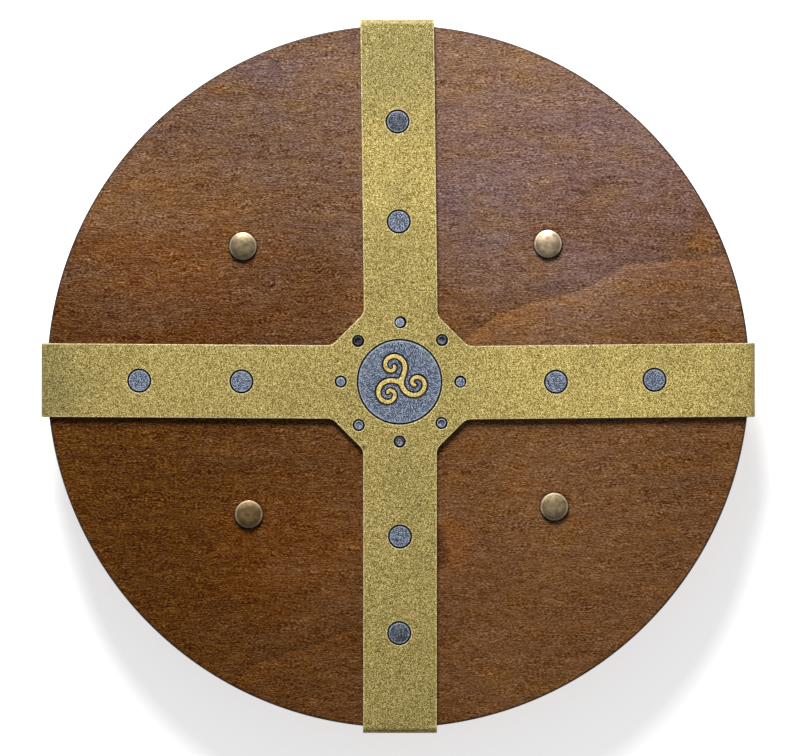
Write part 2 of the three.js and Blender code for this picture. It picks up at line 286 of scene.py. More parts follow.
def meeting(point_a, ahead_a, point_b, ahead_b):
    """Where two straight lines meet."""
    cross = ahead_a[0] * ahead_b[1] - ahead_a[1] * ahead_b[0]
    gap = point_b - point_a
    return point_a + ahead_a * (gap[0] * ahead_b[1] - gap[1] * ahead_b[0]) / cross


def is_inside(points, loops):
    """Whether each point is within the outer loop and outside the holes."""
    crossings = np.zeros(len(points), int)
    x, y = points[:, :1], points[:, 1:]
    for loop in loops:
        x0, y0 = loop[:, 0], loop[:, 1]
        x1, y1 = np.roll(x0, -1), np.roll(y0, -1)
        spans = (y0 > y) != (y1 > y)
        slope = (x1 - x0) / np.where(y1 == y0, 1, y1 - y0)
        crossings += (spans & (x < x0 + slope * (y - y0))).sum(axis=1)
    return crossings % 2 == 1


def grid_within(loops, step, clear):
    """Grid points within the loops, clear of their edges."""
    outer = loops[0]
    low, high = outer.min(axis=0), outer.max(axis=0)
    xs = np.arange(low[0] + step / 2, high[0], step)
    ys = np.arange(low[1] + step / 2, high[1], step)
    points = np.array([(x, y) for y in ys for x in xs])
    points = points[is_inside(points, loops)]
    edges = np.vstack(loops)
    near = [np.hypot(*(edges - p).T).min() for p in points]
    return points[np.array(near) > clear]


# Meshes

def box_of(node):
    low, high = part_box(node)
    return np.array(low) / MM, np.array(high) / MM


def middle_of(node):
    low, high = box_of(node)
    return (low + high)[:2] / 2


def add_piece(node, points, faces, materials, finishes=None, sharp=38):
    """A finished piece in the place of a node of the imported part."""
    name = node + "_finish"
    mesh = bpy.data.meshes.new(name)
    mesh.from_pydata([tuple(point) for point in np.array(points) * MM], [], faces)
    for material in materials:
        mesh.materials.append(material)
    if finishes is not None:
        mesh.polygons.foreach_set("material_index", finishes)
    mesh.polygons.foreach_set("use_smooth", [True] * len(faces))
    mesh.update()
    mesh.set_sharp_from_angle(angle=math.radians(sharp))
    piece = bpy.data.objects.new(name, mesh)
    bpy.context.scene.collection.objects.link(piece)
    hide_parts(node)
    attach(piece, "root")
    return piece


def fill_between(loops, extra):
    """Triangles that fill the outer loop around the holes, as indices into loops and extra points."""
    coords = np.vstack(loops + [extra]) if len(extra) else np.vstack(loops)
    edges = []
    start = 0
    for loop in loops:
        count = len(loop)
        edges.extend((start + i, start + (i + 1) % count) for i in range(count))
        start += count
    found = geometry.delaunay_2d_cdt([Vector(c) for c in coords], edges, [], 0, 1e-6)
    places, triangles, origins = found[0], found[2], found[3]
    centres = np.array([[sum(places[i][k] for i in t) / 3 for k in (0, 1)] for t in triangles])
    kept = is_inside(centres, loops)
    return [tuple(origins[i][0] for i in t) for t, keep in zip(triangles, kept) if keep]


def plate(edges, extra):
    """A flat piece. Each edge is (loop, rings), where rings are (inset, height, finish) from the lower
    face round the edge to the upper face, and the finish is that of the faces up to the next ring.
    Returns points, faces and each face's finish."""
    points = []
    faces = []
    finishes = []
    lower, upper = [], []
    for loop, rings in edges:
        ring_starts = []
        most = max(ring[0] for ring in rings)
        for distance, height, _ in rings:
            ring_starts.append(len(points))
            points.extend((x, y, height) for x, y in inset(loop, distance, most))
        count = len(loop)
        lower.append((ring_starts[0], inset(loop, rings[0][0], most)))
        upper.append((ring_starts[-1], inset(loop, rings[-1][0], most)))
        for (_, _, finish), below, above in zip(rings, ring_starts, ring_starts[1:]):
            for j in range(count):
                follow = (j + 1) % count
                faces.append((below + j, below + follow, above + follow, above + j))
                finishes.append(finish)
    levels = edges[0][1][0][1], edges[0][1][-1][1]
    for side, height, flipped in ((lower, levels[0], True), (upper, levels[1], False)):
        ids = np.concatenate([start + np.arange(len(loop)) for start, loop in side])
        ids = np.concatenate([ids, len(points) + np.arange(len(extra))]).astype(int)
        points.extend((x, y, height) for x, y in extra)
        for triangle in fill_between([loop for _, loop in side], extra):
            corners = tuple(int(ids[i]) for i in triangle)
            faces.append(corners[::-1] if flipped else corners)
            finishes.append(0)
    return np.array(points), faces, finishes


def turned(profile, segments, centre):
    """A profile of (radius, height, finish) points from the axis at the bottom to it at the top."""
    points, faces, finishes = [], [], []
    rings = []
    for radius, height, _ in profile:
        start = len(points)
        if radius == 0:
            points.append((centre[0], centre[1], height))
            rings.append([start] * segments)
        else:
            points.extend((x, y, height) for x, y in circle(centre, radius, segments))
            rings.append(list(range(start, start + segments)))
    for (_, _, finish), below, above in zip(profile, rings, rings[1:]):
        for j in range(segments):
            follow = (j + 1) % segments
            corners = tuple(dict.fromkeys((below[j], below[follow], above[follow], above[j])))
            if len(corners) > 2:
                faces.append(corners)
                finishes.append(finish)
    return np.array(points), faces, finishes


def rounded(width, height_from, height_to, finishes):
    """Rings of a quarter-round edge, from the wall to the flat, one for each finish."""
    rings = []
    for k, finish in enumerate(finishes):
        angle = math.pi / 2 * k / len(finishes)
        height = height_from + (height_to - height_from) * math.sin(angle)
        rings.append((width * (1 - math.cos(angle)), height, finish))
    return rings


def sheet_rings(bottom, top, lip, upper_finishes, flat):
    """Rings of a sheet's cut edge with a rounded upper lip and a narrow flat beside it."""
    rings = [(lip + flat, bottom, 0), (lip / 2, bottom, CUT), (0, bottom + lip / 2, CUT)]
    rings += rounded(lip, top - lip, top, upper_finishes)
    return rings + [(lip, top, upper_finishes[-1]), (lip + flat / 3, top, 0), (lip + flat, top, 0)]


def top_loops(node):
    """Outlines of a node's flat top, the longest first, with the face on their left."""
    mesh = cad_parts[node].data
    points = np.array([v.co for v in mesh.vertices]) / MM
    top = points[:, 2].max()
    keys = [tuple(np.round(point[:2], 2)) for point in points]
    sides = set()
    for polygon in mesh.polygons:
        ids = list(polygon.vertices)
        if min(points[i, 2] for i in ids) > top - 0.01:
            sides.update((keys[a], keys[b]) for a, b in zip(ids, ids[1:] + ids[:1]))
    follow = {a: b for a, b in sorted(sides) if (b, a) not in sides}
    loops = []
    while follow:
        start = min(follow)
        loop = [start]
        while follow[loop[-1]] != start:
            loop.append(follow[loop[-1]])
        for key in loop:
            del follow[key]
        loops.append(np.array(loop))
    return sorted(loops, key=len, reverse=True)


# Pieces

def make_board(materials):
    low, high = box_of("board")
    radius = (high[0] - low[0]) / 2
    bottom, top = low[2], high[2]
    rim = [(BOARD_EASE + 0.6, bottom, 0)]
    rim += [(a, b, CUT) for a, b, _ in rounded(BOARD_EASE, bottom + BOARD_EASE, bottom, [CUT] * 5)[::-1]]
    ply = (top - bottom) / PLY_COUNT
    for k in range(1, PLY_COUNT):
        joint = bottom + ply * k
        rim += [(0, joint - 0.1, CUT), (PLY_GROOVE, joint, CUT), (0, joint + 0.1, CUT)]
    rim += rounded(BOARD_EASE, top - BOARD_EASE, top, [CUT] * 4)
    rim += [(BOARD_EASE, top, 0), (BOARD_EASE + 0.6, top, 0)]
    edges = [(circle((0, 0), radius, BOARD_SIDES), rim)]
    dents = []
    for end in RIVET_ENDS:
        centre = middle_of("rivet_cap_" + end)
        hole = [(0.8, bottom, 0), (0.1, bottom, 0), (0, bottom + 0.1, 0), (0, top - 0.1, 0), (0.1, top, 0)]
        hole.append((0.8, top, 0))
        edges.append((circle(centre, POST_HOLE_RADIUS, 32, clockwise=True), hole))
        dents += [circle(centre, reach, 48) for reach in DENT_RINGS]
    loops = [inset(loop, BOARD_EASE + 0.6) for loop, _ in edges]
    grid = grid_within(loops, 12, 4)
    clear = [min(np.hypot(*(p - edge[0].mean(axis=0))) for edge in edges[1:]) > 14 for p in grid]
    points, faces, finishes = plate(edges, np.vstack([grid[clear]] + dents))
    for end in RIVET_ENDS:
        away = np.hypot(*(points[:, :2] - middle_of("rivet_cap_" + end)).T)
        depth = DENT_DEPTH * np.clip((DENT_REACH - away) / DENT_SLOPE, 0, 1) ** 1.5
        points[:, 2] -= np.where(points[:, 2] > top - 0.01, depth, 0)
    add_piece("board", points, faces, materials, finishes)


def cross_outline(centre, sheet_reach):
    """The cross laid flat. Each arm's end is straight, and as far out as the sheet reaches."""
    def arm_line(index, side):
        bearing, shift = ARMS[index % 4]
        ahead = unit(bearing)
        return centre + unit(bearing + 90) * (shift + side * ARM_WIDTH / 2), ahead

    def at_reach(line, axis, reach):
        point, ahead = line
        return point + ahead * (reach - point @ axis) / (ahead @ axis)

    reaches = bend_reaches()
    bends = [reaches[0] - BEND_MARGIN] + reaches + [reaches[-1] + BEND_MARGIN]
    corners = []
    for i in range(4):
        axis = unit(90 * i)
        right, left = arm_line(i, -1), arm_line(i, 1)
        corners.extend((*at_reach(right, axis, reach), 0) for reach in bends)
        corners.append((*at_reach(right, axis, sheet_reach), ARM_CORNER))
        corners.append((*at_reach(left, axis, sheet_reach), ARM_CORNER))
        corners.extend((*at_reach(left, axis, reach), 0) for reach in reversed(bends))
        chamfer = centre + unit(45 + 90 * i) * BOSS_RADIUS, unit(135 + 90 * i)
        corners.append((*meeting(*left, *chamfer), BOSS_FILLET))
        corners.append((*meeting(*chamfer, *arm_line(i + 1, -1)), BOSS_FILLET))
    return rounded_outline(corners, 2.5)


def bend_reaches():
    """How far out along an arm the laid-out sheet is creased to make the bend."""
    return [BEND_START + BEND_NEUTRAL * math.pi / 2 * k / BEND_STEPS for k in range(BEND_STEPS + 1)]


def bend_over_rim(points, under):
    """Turns the laid-out sheet down at the rim. Heights come in as heights within the sheet."""
    x, y, height = points.T
    lies_along_x = np.abs(x) > np.abs(y)
    along = np.where(lies_along_x, x, y)
    beyond = np.clip(np.abs(along) - BEND_START, 0, None)
    angle = np.clip(beyond / BEND_NEUTRAL, 0, math.pi / 2)
    down = np.clip(beyond - BEND_NEUTRAL * math.pi / 2, 0, None)
    reach = BEND_INSIDE + height
    bent = np.sign(along) * (BEND_START + reach * np.sin(angle))
    along = np.where(beyond > 0, bent, along)
    z = np.where(beyond > 0, under - BEND_INSIDE + reach * np.cos(angle) - down, under + height)
    return np.column_stack([np.where(lies_along_x, along, x), np.where(lies_along_x, y, along), z])


def make_cross(materials):
    low, high = box_of("cross")
    sheet = high[2] - box_of("triskele")[0][2]
    under = high[2] - sheet
    bend_length = BEND_NEUTRAL * math.pi / 2
    sheet_reach = BEND_START + bend_length + (under - BEND_INSIDE) - low[2]
    outside = sheet_rings(0, sheet, OUTER_LIP, [CUT, CUT, LIP_HIGHLIGHT, LIP_HIGHLIGHT], LIP_FLAT)
    around_holes = sheet_rings(0, sheet, HOLE_LIP, [CUT, CUT, LIP_HIGHLIGHT, LIP_HIGHLIGHT], LIP_FLAT)
    edges = [(cross_outline(middle_of("middle_disc"), sheet_reach), outside)]
    for loop in top_loops("cross")[1:]:
        centre = (loop.min(axis=0) + loop.max(axis=0)) / 2
        radius = np.hypot(*(loop - centre).T).mean()
        edges.append((circle(centre, radius, 128 if radius > 8 else 48, clockwise=True), around_holes))
    loops = [inset(loop, rings[-1][0]) for loop, rings in edges]
    inner = grid_within(loops, 4, 1.6)
    away = np.abs(inner).max(axis=1)
    inner = inner[(away < BEND_START - 2) | (away > bend_reaches()[-1] + 1.5)]
    rows = [
        unit(90 * arm) * reach + unit(90 * arm + 90) * aside
        for arm in range(4) for reach in bend_reaches() for aside in np.arange(-14, 15, 2)
    ]
    rows = np.array(rows)
    rows = rows[is_inside(rows, loops)]
    edge_points = np.vstack(loops)
    rows = rows[[np.hypot(*(edge_points - row).T).min() > 0.5 for row in rows]]
    points, faces, finishes = plate(edges, np.vstack([inner, rows]))
    waves = np.array([noise.noise(Vector((p[0] / 30, p[1] / 30, 5))) for p in points])
    points = bend_over_rim(points, under)
    points[:, 2] += np.where(points[:, 2] > under - 1, 0.05 * waves, 0)
    add_piece("cross", points, faces, materials, finishes)


def stud_profile(radius, bottom, top, dish):
    """A disc of sheet with a rounded lip. A dished one is hollow in the middle."""
    profile = [(0, bottom, 0), (radius - 0.15, bottom, CUT), (radius, bottom + 0.15, CUT)]
    lip = rounded(STUD_LIP, top - STUD_LIP, top, [CUT, CUT, CUT, LIP_HIGHLIGHT])
    profile += [(radius - inward, height, finish) for inward, height, finish in lip]
    if dish:
        steps = (0.62, 0.5, 0.35, 0.2, 0)
        hollow = [(radius * s, top - dish * math.sqrt(1 - s ** 2), HOLLOW) for s in steps]
        return profile + [(radius * 0.74, top, HOLLOW)] + hollow
    return profile + [(radius - STUD_LIP, top, LIP_HIGHLIGHT), (radius - STUD_LIP - 0.15, top, 0), (0, top, 0)]


def make_studs(blues, cut_edge):
    for node in sorted(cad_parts):
        if "_stud_" not in node:
            continue
        low, high = box_of(node)
        profile = stud_profile((high[0] - low[0]) / 2, low[2], high[2], DISHED_STUDS.get(node, 0))
        points, faces, finishes = turned(profile, 56, middle_of(node))
        face, lip, hollow = STUD_PAINT.get(node, ("plain", "worn", "plain"))
        materials = [blues[face], cut_edge, blues[lip], blues[hollow]]
        add_piece(node, points, faces, materials, finishes, sharp=60)


def make_middle_disc(materials):
    low, high = box_of("middle_disc")
    bottom, top = low[2], high[2]
    slot = min(top_loops("middle_disc"), key=lambda loop: np.ptp(loop[:, 0]))
    around = sheet_rings(bottom, top, STUD_LIP, [CUT, CUT, CUT, LIP_HIGHLIGHT], DISC_LIP_FLAT)
    # Beside the triskele's slot the disc takes the near-black paint: painted shade in the narrow grooves
    inside = sheet_rings(bottom, top, SLOT_LIP, [CUT, CUT, HOLLOW], SLOT_LIP_FLAT)
    outline = circle(middle_of("middle_disc"), (high[0] - low[0]) / 2, 144)
    edges = [(outline, around), (smoothed(slot, 0.3, 8), inside)]
    loops = [inset(loop, rings[-1][0]) for loop, rings in edges]
    points, faces, finishes = plate(edges, grid_within(loops, 2, 0.6))
    add_piece("middle_disc", points, faces, materials, finishes)


def make_triskele(materials):
    low, high = box_of("triskele")
    rings = sheet_rings(low[2], high[2], TRISKELE_LIP, [CUT, CUT, LIP_HIGHLIGHT, LIP_HIGHLIGHT], TRISKELE_LIP_FLAT)
    edges = [(smoothed(top_loops("triskele")[0], 0.3, 8), rings)]
    points, faces, finishes = plate(edges, np.zeros((0, 2)))
    add_piece("triskele", points, faces, materials, finishes)


def make_rivet_caps(materials):
    """Low domes with a beaded rim, on the posts that hold them."""
    seat = box_of("board")[1][2] + 0.3
    for end in RIVET_ENDS:
        node = "rivet_cap_" + end
        low, high = box_of(node)
        radius = (high[0] - low[0]) / 2
        post = POST_HOLE_RADIUS - POST_GAP
        profile = [(0, low[2], 0), (post - 0.1, low[2], 0), (post, low[2] + 0.1, 0)]
        profile += [(post, seat + 0.2, 0), (radius - 0.7, seat + 0.2, 0), (radius - 0.45, seat, 0)]
        profile += [(radius - inward, seat + height, 1) for inward, height in CAP_BEAD[:-1]]
        dome_radius, dome_seat = radius - CAP_BEAD[-1][0], seat + CAP_BEAD[-1][1]
        profile.append((dome_radius, dome_seat, 0))
        for share in DOME_RINGS:
            rise = (high[2] - dome_seat) * (1 - share ** DOME_POWER[end])
            profile.append((dome_radius * share, dome_seat + rise, 0))
        points, faces, finishes = turned(profile, 72, middle_of(node))
        dome = points[:, 2] > seat + 0.7
        dents = np.array([noise.noise(Vector(point / 1.9)) for point in points])
        points[:, 2] -= np.where(dome, 0.03 * (1 + dents), 0)
        add_piece(node, points, faces, materials, finishes, sharp=50)


def make_rivet_backs(materials):
    for node in ["rivet_back_" + end for end in RIVET_ENDS]:
        low, high = box_of(node)
        radius = (high[0] - low[0]) / 2
        bottom, seat = low[2], high[2]
        profile = [(0, bottom)]
        for s in (0.15, 0.3, 0.45, 0.6, 0.72, 0.82, 0.9, 0.95):
            profile.append((radius * s, bottom + (seat - bottom - 0.75) * s ** 2.4))
        profile += [(radius - 0.1, seat - 0.7), (radius, seat - 0.45), (radius, seat - 0.2)]
        profile += [(radius - 0.2, seat), (POST_HOLE_RADIUS, seat)]
        profile += [(POST_HOLE_RADIUS, seat - 1), (0, seat - 1)]
        points, faces, _ = turned([(r, h, 0) for r, h in profile], 64, middle_of(node))
        add_piece(node, points, faces, materials, sharp=50)


def strap_path(half_span, low, high):
    """The loop's middle line in side view: way along the strap, distance from its middle, height and
    steepness, from the middle of the loop to past its rivet."""
    run = half_span - TAB_HOLD - LOOP_FLAT / 2
    along = np.arange(0, half_span + STRAP_WIDTH, 0.1)
    share = np.clip((along - LOOP_FLAT / 2) / run, 0, 1)
    height = low + (high - low) * share ** 2 * (3 - 2 * share)
    steepness = 6 * share * (1 - share) * (high - low) / run
    lengths = np.concatenate([[0], np.cumsum(np.hypot(np.diff(along), np.diff(height)))])
    return lengths, along, height, steepness


def strap_outline(rivet_at):
    """The strap laid flat, with a round end beyond each rivet."""
    width = STRAP_WIDTH / 2
    turn = np.linspace(0, math.pi, STRAP_END_STEPS)
    end = np.column_stack([width * np.cos(turn), rivet_at + width * np.sin(turn)])
    side_steps = np.linspace(-rivet_at, rivet_at, STRAP_SIDE_STEPS)[1:-1]
    side = np.full(len(side_steps), width)
    return np.vstack([np.column_stack([side, side_steps]), end,
                      np.column_stack([-side, side_steps[::-1]]), -end])


def strap_edge_rings(half):
    """Rings from the strap's under side, with a crease along it, round its burnished edge."""
    rings = [(2.6, -half, 0), (2.15, -half, 0), (1.95, -half + 0.16, 0), (1.75, -half + 0.16, 0)]
    rings += [(1.55, -half, 0), (0.5, -half, CUT), (0.2, -half + 0.12, CUT)]
    rings += [(0.04, -half + 0.4, CUT), (0, -half + 0.8, CUT), (0, half - 0.8, CUT)]
    return rings + [(0.04, half - 0.4, CUT), (0.2, half - 0.12, CUT), (0.5, half, 0), (1, half, 0)]


def strap_hole_rings(half):
    rings = [(0.5, -half, 0), (0.12, -half, 0), (0, 0.12 - half, 0)]
    return rings + [(0, half - 0.12, 0), (0.12, half, 0), (0.5, half, 0)]


def make_strap(node, side, materials):
    """A strap laid flat between its two rivets, then bent down into its loop."""
    rivets = [middle_of("rivet_cap_" + end + "_" + side) for end in ("top", "bottom")]
    centre = (rivets[0] + rivets[1]) / 2
    reach = rivets[0] - centre
    half_span = np.linalg.norm(reach)
    ahead = reach / half_span
    across = np.array([ahead[1], -ahead[0]])
    low, high = box_of(node)
    half = STRAP_THICKNESS / 2
    lengths, along, height, steepness = strap_path(half_span, low[2] + half, high[2] - half)
    rivet_at = np.interp(half_span, along, lengths)
    outline = strap_outline(rivet_at)
    edges = [(outline, strap_edge_rings(half))]
    for way in (1, -1):
        hole = circle((0, way * rivet_at), POST_HOLE_RADIUS, 32, clockwise=True)
        edges.append((hole, strap_hole_rings(half)))
    loops = [inset(outline, 2.6)] + [inset(loop, 0.5) for loop, _ in edges[1:]]
    points, faces, finishes = plate(edges, grid_within(loops, 2.5, 1.2))
    aside, way, level = points.T
    sign = np.sign(way)
    at = np.interp(np.abs(way), lengths, along)
    slope = np.interp(at, along, steepness)
    lean = 1 / np.hypot(1, slope)
    at_height = np.interp(at, along, height) + level * lean
    at = sign * (at - level * slope * lean)
    plan = centre + np.outer(at, ahead) + np.outer(aside, across)
    add_piece(node, np.column_stack([plan, at_height]), faces, materials, finishes)


# Materials

class Finish:
    """A material's node tree, with its coordinates in millimetres and short ways to add nodes."""

    def __init__(self, name):
        self.material = bpy.data.materials.new(name)
        self.material.use_nodes = True
        self.tree = self.material.node_tree
        self.tree.nodes.clear()
        self.place = self.vector("SCALE", self.add("ShaderNodeTexCoord").outputs["Object"], scale=1000)
        self.x, self.y, self.z = self.add("ShaderNodeSeparateXYZ", {0: self.place}).outputs

    def add(self, kind, inputs=None, **settings):
        node = self.tree.nodes.new(kind)
        for key, value in settings.items():
            setattr(node, key, value)
        for key, value in (inputs or {}).items():
            if isinstance(value, bpy.types.NodeSocket):
                self.tree.links.new(value, node.inputs[key])
            else:
                node.inputs[key].default_value = value
        return node

    def vector(self, operation, first, second=None, scale=None):
        inputs = {0: first}
        if second is not None:
            inputs[1] = second
        if scale is not None:
            inputs[3] = scale
        return self.add("ShaderNodeVectorMath", inputs, operation=operation).outputs[0]

    def maths(self, operation, first, second=0.0):
        return self.add("ShaderNodeMath", {0: first, 1: second}, operation=operation).outputs[0]

    def noise(self, size, detail=2.0, roughness=0.5, place=None, output="Fac"):
        """Noise whose features are about as large as size, in millimetres."""
        scaled = self.vector("DIVIDE", place or self.place, size)
        inputs = {"Vector": scaled, "Scale": 1.0, "Detail": detail, "Roughness": roughness}
        return self.add("ShaderNodeTexNoise", inputs).outputs[output]

    def spread(self, value, low, high, to_low=0.0, to_high=1.0):
        """The value's range from low to high, eased to another range."""
        inputs = {"Value": value, "From Min": low, "From Max": high, "To Min": to_low, "To Max": to_high}
        return self.add("ShaderNodeMapRange", inputs, interpolation_type="SMOOTHSTEP").outputs[0]

    def spread_evenly(self, value, low, high):
        inputs = {"Value": value, "From Min": low, "From Max": high}
        return self.add("ShaderNodeMapRange", inputs, interpolation_type="LINEAR").outputs[0]

    def ramp(self, value, stops):
        """A colour for each value from 0 to 1, through stops of (value, colour)."""
        node = self.add("ShaderNodeValToRGB", {0: value})
        stretch = node.color_ramp.elements
        stretch[0].position, stretch[1].position = stops[0][0], stops[-1][0]
        stretch[0].color, stretch[1].color = (*stops[0][1], 1), (*stops[-1][1], 1)
        for at, colour in stops[1:-1]:
            stretch.new(at).color = (*colour, 1)
        return node.outputs[0]

    def mix(self, factor, first, second):
        node = self.add("ShaderNodeMix", data_type="RGBA", clamp_factor=True)
        for index, value in ((0, factor), (6, first), (7, second)):
            if isinstance(value, bpy.types.NodeSocket):
                self.tree.links.new(value, node.inputs[index])
            elif index == 0:
                node.inputs[index].default_value = value
            else:
                node.inputs[index].default_value = (*value, 1)
        return node.outputs[2]

    def gamma(self, colour, power):
        return self.add("ShaderNodeGamma", {0: colour, 1: power}).outputs[0]

    def brighten(self, colour, factor):
        return self.vector("SCALE", colour, scale=factor)

    def bump(self, height, depth):
        """Surface relief, with its depth in millimetres."""
        inputs = {"Height": height, "Distance": depth * MM, "Strength": 1.0}
        return self.add("ShaderNodeBump", inputs).outputs[0]

    def near(self, x, y, radius_x, radius_y, core=0.0):
        """1 at a place on the face, falling to 0 at the radii from a core, which is a share of them."""
        away_x = self.maths("DIVIDE", self.maths("SUBTRACT", self.x, x), radius_x)
        away_y = self.maths("DIVIDE", self.maths("SUBTRACT", self.y, y), radius_y)
        squares = self.maths("ADD", self.maths("POWER", self.maths("ABSOLUTE", away_x), 2.0),
                             self.maths("POWER", self.maths("ABSOLUTE", away_y), 2.0))
        return self.spread(squares, 1.0, core ** 2)

    def tinted(self, colour, mask, tint):
        """The colour times the tint where the mask is 1."""
        return self.mix(mask, colour, self.vector("MULTIPLY", colour, tint))

    def above_line(self, line):
        """Height above a line across the face, through points of (x, y)."""
        node = self.add("ShaderNodeFloatCurve", {"Value": self.spread_evenly(self.x, -150.0, 150.0)})
        shares = [((x + 150) / 300, (y + 150) / 300) for x, y in line]
        points = node.mapping.curves[0].points
        points[0].location, points[1].location = shares[0], shares[-1]
        for share in shares[1:-1]:
            points.new(*share)
        node.mapping.update()
        height = self.maths("SUBTRACT", self.maths("MULTIPLY", node.outputs[0], 300.0), 150.0)
        return self.maths("SUBTRACT", self.y, height)

    def finish(self, **sockets):
        shader = self.add("ShaderNodeBsdfPrincipled")
        for name, value in sockets.items():
            socket = shader.inputs[name.replace("_", " ").title().replace("Ior", "IOR")]
            if isinstance(value, bpy.types.NodeSocket):
                self.tree.links.new(value, socket)
            else:
                socket.default_value = value
        output = self.add("ShaderNodeOutputMaterial")
        self.tree.links.new(shader.outputs[0], output.inputs["Surface"])
        return self.material


def wood_figure(f, colour, face, below_reach, above_reach, line):
    """Darker wood above a figure line and lighter wood below it."""
    wander = f.maths("MULTIPLY", f.maths("SUBTRACT", f.noise((5, 5, 5), 2.0), 0.5), 3.5)
    above = f.maths("ADD", f.above_line(line), wander)
    ends = f.maths("MULTIPLY", f.spread(f.x, float(line[0][0]), line[0][0] + 12.0),
                   f.spread(f.x, float(line[-1][0]), line[-1][0] - 9.0))
    there = f.maths("MULTIPLY", ends, face)
    fade = f.maths("POWER", f.spread_evenly(above, -float(below_reach), 0.0), 1.4)
    below = f.maths("MULTIPLY", fade, f.spread(above, 0.3, -0.5))
    shade = f.maths("MULTIPLY", f.spread(above, float(above_reach), 0.0), f.spread(above, -0.5, 0.3))
    colour = f.tinted(colour, f.maths("MULTIPLY", below, there), (1.32, 1.29, 1.2))
    return f.tinted(colour, f.maths("MULTIPLY", shade, there), (0.82, 0.84, 0.95))


def wood_grain(f):
    """Short and long thin strokes along the grain, from about -1 to 1."""
    drift = f.vector("SUBTRACT", f.noise((14, 9, 9), 1.0, output="Color"), (0.5, 0.5, 0.5))
    place = f.vector("ADD", f.place, f.vector("MULTIPLY", drift, (4, 6, 0)))
    short = f.maths("MULTIPLY", f.maths("SUBTRACT", f.noise((1.1, 0.36, 3), 1.0, 0.5, place), 0.5), 8.5)
    long = f.maths("MULTIPLY", f.maths("SUBTRACT", f.noise((5.5, 0.42, 3), 1.0, 0.5, place), 0.5), 4.5)
    bands = f.maths("MULTIPLY", f.maths("SUBTRACT", f.noise((24, 2.2, 9), 3.0, 0.5, place), 0.5), 1.6)
    return f.maths("ADD", f.maths("ADD", short, long), bands)


def wood_finish():
    f = Finish("stained_wood")
    clouds = f.maths("SUBTRACT", f.noise((55, 20, 40), 3.0, 0.55), 0.5)
    stains = f.noise((16, 7, 9), 3.0, 0.55)
    rightward = f.spread(f.maths("ADD", f.x, f.maths("MULTIPLY", clouds, 150.0)), -95.0, 60.0)
    sheen_upward = f.spread(f.maths("ADD", f.y, f.maths("MULTIPLY", clouds, -150.0)), -10.0, 130.0)
    # The tone from left to right is partly the wood's own, partly painted light: brighter to the right
    tone = f.mix(rightward, WOOD_LEFT, WOOD_RIGHT)
    # Painted sheen: a grey veil added to the colour towards the top
    tone = f.vector("ADD", tone, f.vector("SCALE", WOOD_TOP_SHEEN, scale=sheen_upward))
    tone = f.tinted(tone, f.spread(stains, 0.5, 0.3), (0.92, 0.94, 1.12))
    tone = f.tinted(tone, f.spread(stains, 0.5, 0.7), (1.10, 1.06, 0.80))
    face = f.spread(f.z, 29.0, 32.0)
    # Stains, and the painted sheen at the upper right
    for x, y, along, across, tint in STAINS_AND_PAINTED_SHEEN:
        tone = f.tinted(tone, f.maths("MULTIPLY", f.near(x, y, along, across), face), tint)
    for below_reach, above_reach, line in FIGURE_LINES:
        tone = wood_figure(f, tone, face, below_reach, above_reach, line)
    # Dark ring round each rivet cap: partly painted shade under the cap's rim, partly wood pressed darker
    for end in RIVET_ENDS:
        x, y = middle_of("rivet_cap_" + end)
        tone = f.tinted(tone, f.near(float(x), float(y), 6.7, 6.7, 0.93), (0.35, 0.35, 0.35))
    from_middle = f.maths("SQRT", f.maths("ADD", f.maths("MULTIPLY", f.x, f.x),
                                          f.maths("MULTIPLY", f.y, f.y)))
    tone = f.tinted(tone, f.spread(from_middle, 148.9, 149.5), (0.4, 0.4, 0.4))
    grain = wood_grain(f)
    strength = f.maths("MULTIPLY", grain, f.spread(f.y, -100.0, 0.0, *WOOD_GRAIN))
    seen = f.vector("ADD", f.gamma(tone, 1 / 2.2), f.vector("SCALE", (1, 1, 1), scale=strength))
    colour = f.gamma(f.vector("MAXIMUM", seen, (0, 0, 0)), 2.2)
    return f.finish(base_color=colour, roughness=0.5, specular_ior_level=0.08,
                    normal=f.bump(grain, 0.01))


def rim_finish():
    f = Finish("board_rim")
    ply = f.maths("SINE", f.maths("MULTIPLY", f.z, math.pi / 1.2))
    grain = f.noise((5, 5, 0.35), 2.0)
    base = f.mix(f.spread(ply, -0.4, 0.4), (0.030, 0.015, 0.007), (0.070, 0.034, 0.015))
    colour = f.brighten(base, f.spread(grain, 0.3, 0.7, 0.5, 1.5))
    return f.finish(base_color=colour, roughness=0.62, normal=f.bump(grain, 0.05))


def paint_finish(name, dark, middle, bright, size=0.36, span=0.19, mottle=0.2,
                 patch=(0.45, 0.75, 0.85)):
    """Metallic paint on grainy sheet: fine light and dark grains, with duller patches. A patch runs
    between two levels of slow noise and is as dull as the third number says."""
    f = Finish(name)
    fine = f.noise((size, size, size), 1.0, 0.5)
    coarse = f.noise((1.5, 1.5, 1.5), 2.0, 0.6)
    patches = f.noise((24, 24, 24), 3.0)
    grain = f.maths("ADD", fine, f.maths("MULTIPLY", f.maths("SUBTRACT", coarse, 0.5), mottle))
    shade = f.ramp(grain, ((0.5 - span, dark), (0.5, middle), (0.5 + span, bright)))
    hue = f.vector("SUBTRACT", f.noise((0.7, 0.7, 0.7), 0.0, output="Color"), (0.5, 0.5, 0.5))
    shade = f.vector("MULTIPLY", shade, f.vector("ADD", f.vector("SCALE", hue, scale=0.12), (1, 1, 1)))
    dull = f.spread(patches, patch[0], patch[1])
    return f, grain, f.brighten(shade, f.maths("ADD", f.maths("MULTIPLY", dull, patch[2] - 1), 1.0))


